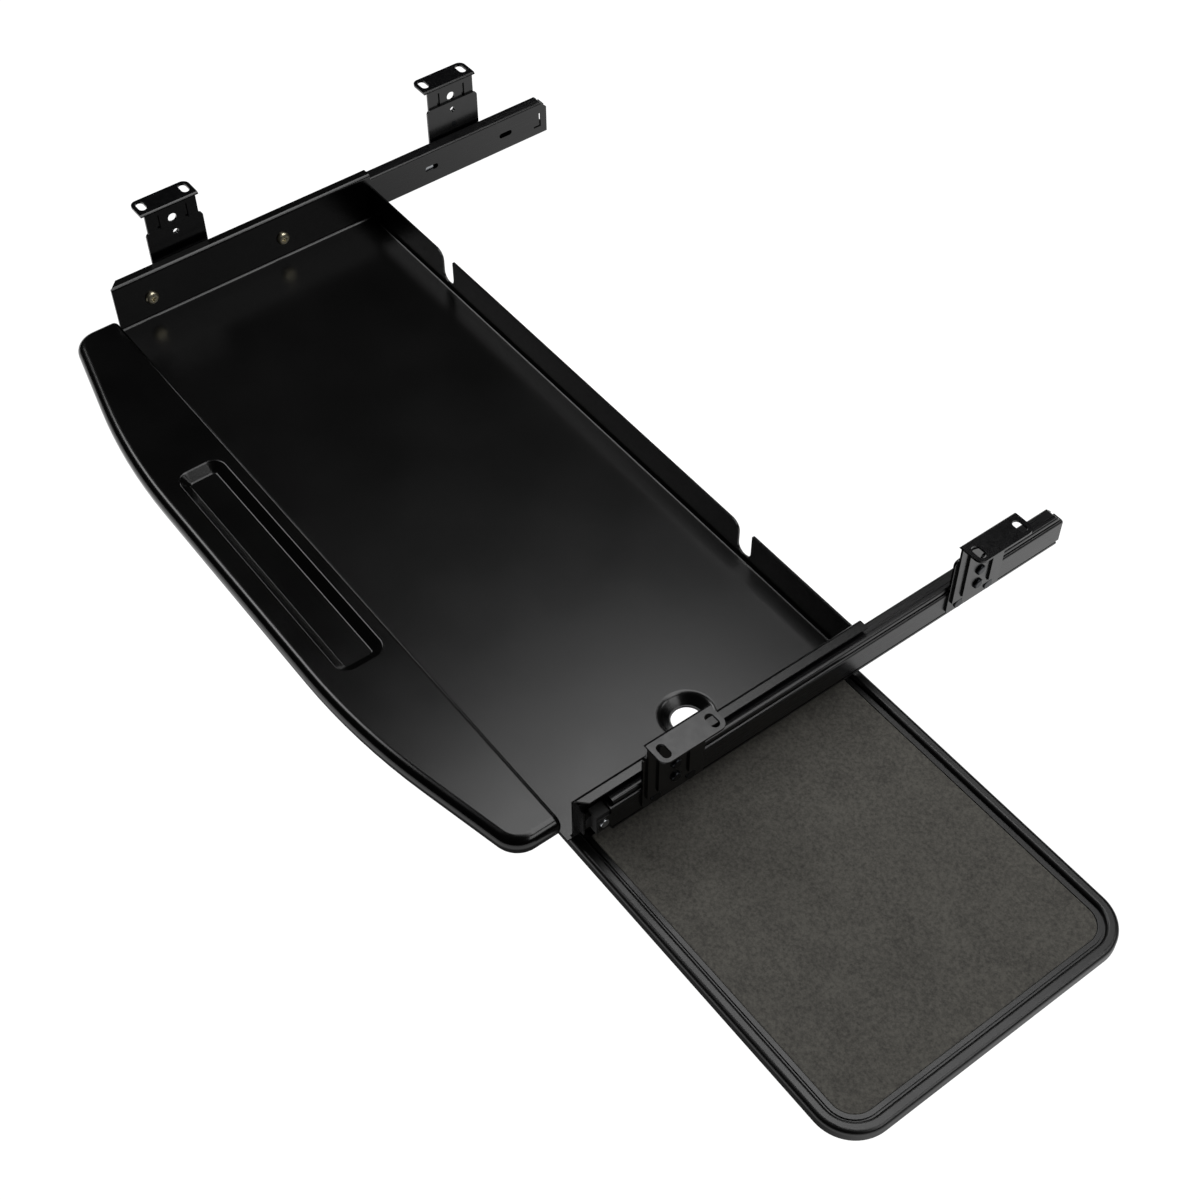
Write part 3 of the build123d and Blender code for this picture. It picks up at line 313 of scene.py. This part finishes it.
# Mouse tray: a moulded ABS pan with a raised bead, satin from a spark-eroded tool and ribbed underneath.
# It hangs from two bright zinc bars that slide in guides under the keyboard tray, between nylon blocks at
# both ends. The spark pits are drawn coarser than the real ones, to hold at this distance.
spark_grain = 0.0006
spark_depth = 0.00002
flow_patch = 0.05
nylon_patch = 0.0015

abs_satin, tree, shader = start_finish("spark_eroded_abs", "#030303", 0.34, IOR=1.53)
pits = noise(tree, spark_grain, 3.0)
emboss(tree, shader, pits, spark_depth, strength=0.6)
flow = noise(tree, flow_patch, 3.0)
roughen(tree, shader, flow, 0.3, 0.38, start=0.3, end=0.7)
dress(abs_satin, "mouse_tray")
dress(bright_zinc, "palm_rest_screws", "mouse_bar_screws")
dress(bright_zinc, *[part + end for part in ("mouse_guide_", "mouse_bar_") for end in ends])

nylon, tree, shader = start_finish("black_nylon", "#0d0d0e", 0.45, IOR=1.53)
skin = noise(tree, nylon_patch, 3.0)
roughen(tree, shader, skin, 0.38, 0.55)
dress(nylon, "guide_stops")


# Mouse pad: knitted polyester cloth bonded to a 2 mm sheet of foam rubber, die cut and laid in the pan.
# The knit shows as a mottled grain over soft darker patches, and the pad never lies quite flat. Its stitches
# are drawn about twice as wide as real ones, to hold at this distance.
pad_corner_far = 0.0137
pad_corner_near = 0.0015
pad_corner_least = 0.0002
pad_edge_round = 0.0006
pad_edge_middle = 0.3 * pad_edge_round
pad_wave_length = 0.09
pad_wave_height = 0.0001
pad_points = 160
pad_rings = 20
stitch_width = 0.0011
stitch_depth = 0.0001
yarn_mottle = 0.0019
yarn_weight = 0.8
dye_patch = 0.022
dye_weight = 0.2
pad_low, pad_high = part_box("mouse_pad")


def pad_outline(inset):
    """Points round a rectangle with quarter circles at its corners, drawn in by an inset."""
    x0, y0, x1, y1 = pad_low.x + inset, pad_low.y + inset, pad_high.x - inset, pad_high.y - inset
    far = max(pad_corner_far - inset, pad_corner_least)
    near = max(pad_corner_near - inset, pad_corner_least)
    turn = np.radians(np.linspace(0, 90, pad_points // 4))
    quarters = ((x1, y0, far, -90), (x1, y1, far, 0), (x0, y1, near, 90), (x0, y0, near, 180))
    points = []
    for x, y, radius, start in quarters:
        angle = np.radians(start) + turn
        centre_x = x - radius if x == x1 else x + radius
        centre_y = y - radius if y == y1 else y + radius
        points.append(np.column_stack([centre_x + radius * np.cos(angle), centre_y + radius * np.sin(angle)]))
    return np.vstack(points)


def pad_surface():
    """Rings of points: up the cut edge, round it, then drawn in evenly to the centre of the top.

    The top sinks below its highest plane by
    wave height x (1 - sin(2 pi x / wave length) sin(2 pi y / wave length)) / 2.
    """
    foot, crown = pad_low.z, pad_high.z
    edge = ((pad_edge_round, foot), (0.0, foot + pad_edge_round), (0.0, crown - pad_edge_round),
            (pad_edge_middle, crown - pad_edge_middle), (pad_edge_round, crown))
    side = [np.column_stack([pad_outline(inset), np.full(pad_points, z)]) for inset, z in edge]
    centre = np.array(((pad_low + pad_high) / 2).xy)
    shares = np.linspace(1, 0, pad_rings + 1)[1:-1, None, None]
    flat = (centre + shares * (pad_outline(pad_edge_round) - centre)).reshape(-1, 2)
    phase = 2 * pi * flat / pad_wave_length
    dip = pad_wave_height * (1 - np.sin(phase[:, 0]) * np.sin(phase[:, 1])) / 2
    top = np.column_stack([flat, crown - dip])
    poles = [(*centre, crown - pad_wave_height / 2), (*centre, foot)]
    return np.vstack(side + [top, poles]), len(edge) + pad_rings - 1


pad_vertices, ring_count = pad_surface()
step = np.arange(pad_points)
follow = (step + 1) % pad_points
ring = np.arange(ring_count - 1)[:, None] * pad_points
quads = np.stack([ring + step, ring + follow, ring + follow + pad_points, ring + step + pad_points], axis=-1)
last = (ring_count - 1) * pad_points
top_fan = np.column_stack([last + step, last + follow, np.full(pad_points, ring_count * pad_points)])
low_fan = np.column_stack([follow, step, np.full(pad_points, ring_count * pad_points + 1)])
pad_faces = quads.reshape(-1, 4).tolist() + top_fan.tolist() + low_fan.tolist()
pad_mesh = bpy.data.meshes.new("cloth_mouse_pad")
pad_mesh.from_pydata(pad_vertices.tolist(), [], pad_faces)
pad = bpy.data.objects.new("cloth_mouse_pad", pad_mesh)
bpy.context.scene.collection.objects.link(pad)

cloth_sheen = {"Sheen_Weight": 0.15, "Sheen_Roughness": 0.5}
cloth, tree, shader = start_finish("knitted_polyester_on_foam", "#454440", 0.85, **cloth_sheen)
mottle = noise(tree, yarn_mottle, 4.0, roughness=0.7)
patches = noise(tree, dye_patch, 3.0, roughness=0.6)
blend = add(tree, "Math", {0: mottle, 1: yarn_weight}, operation="MULTIPLY")
mixed = add(tree, "Math", {0: patches, 1: dye_weight, 2: (blend, "Value")}, operation="MULTIPLY_ADD")
spread = add(tree, "MapRange", {"Value": (mixed, "Value"), "From Min": 0.36, "From Max": 0.64})
tint(tree, shader, (spread, "Result"), "#302e2a", "#504e48")
stitches = add(tree, "TexVoronoi", {"Vector": own_place(tree), "Scale": 1 / stitch_width})
emboss(tree, shader, (stitches, "Distance"), stitch_depth, invert=True)
pad_mesh.materials.append(cloth)
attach(pad, "mouse")
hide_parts("mouse_pad")
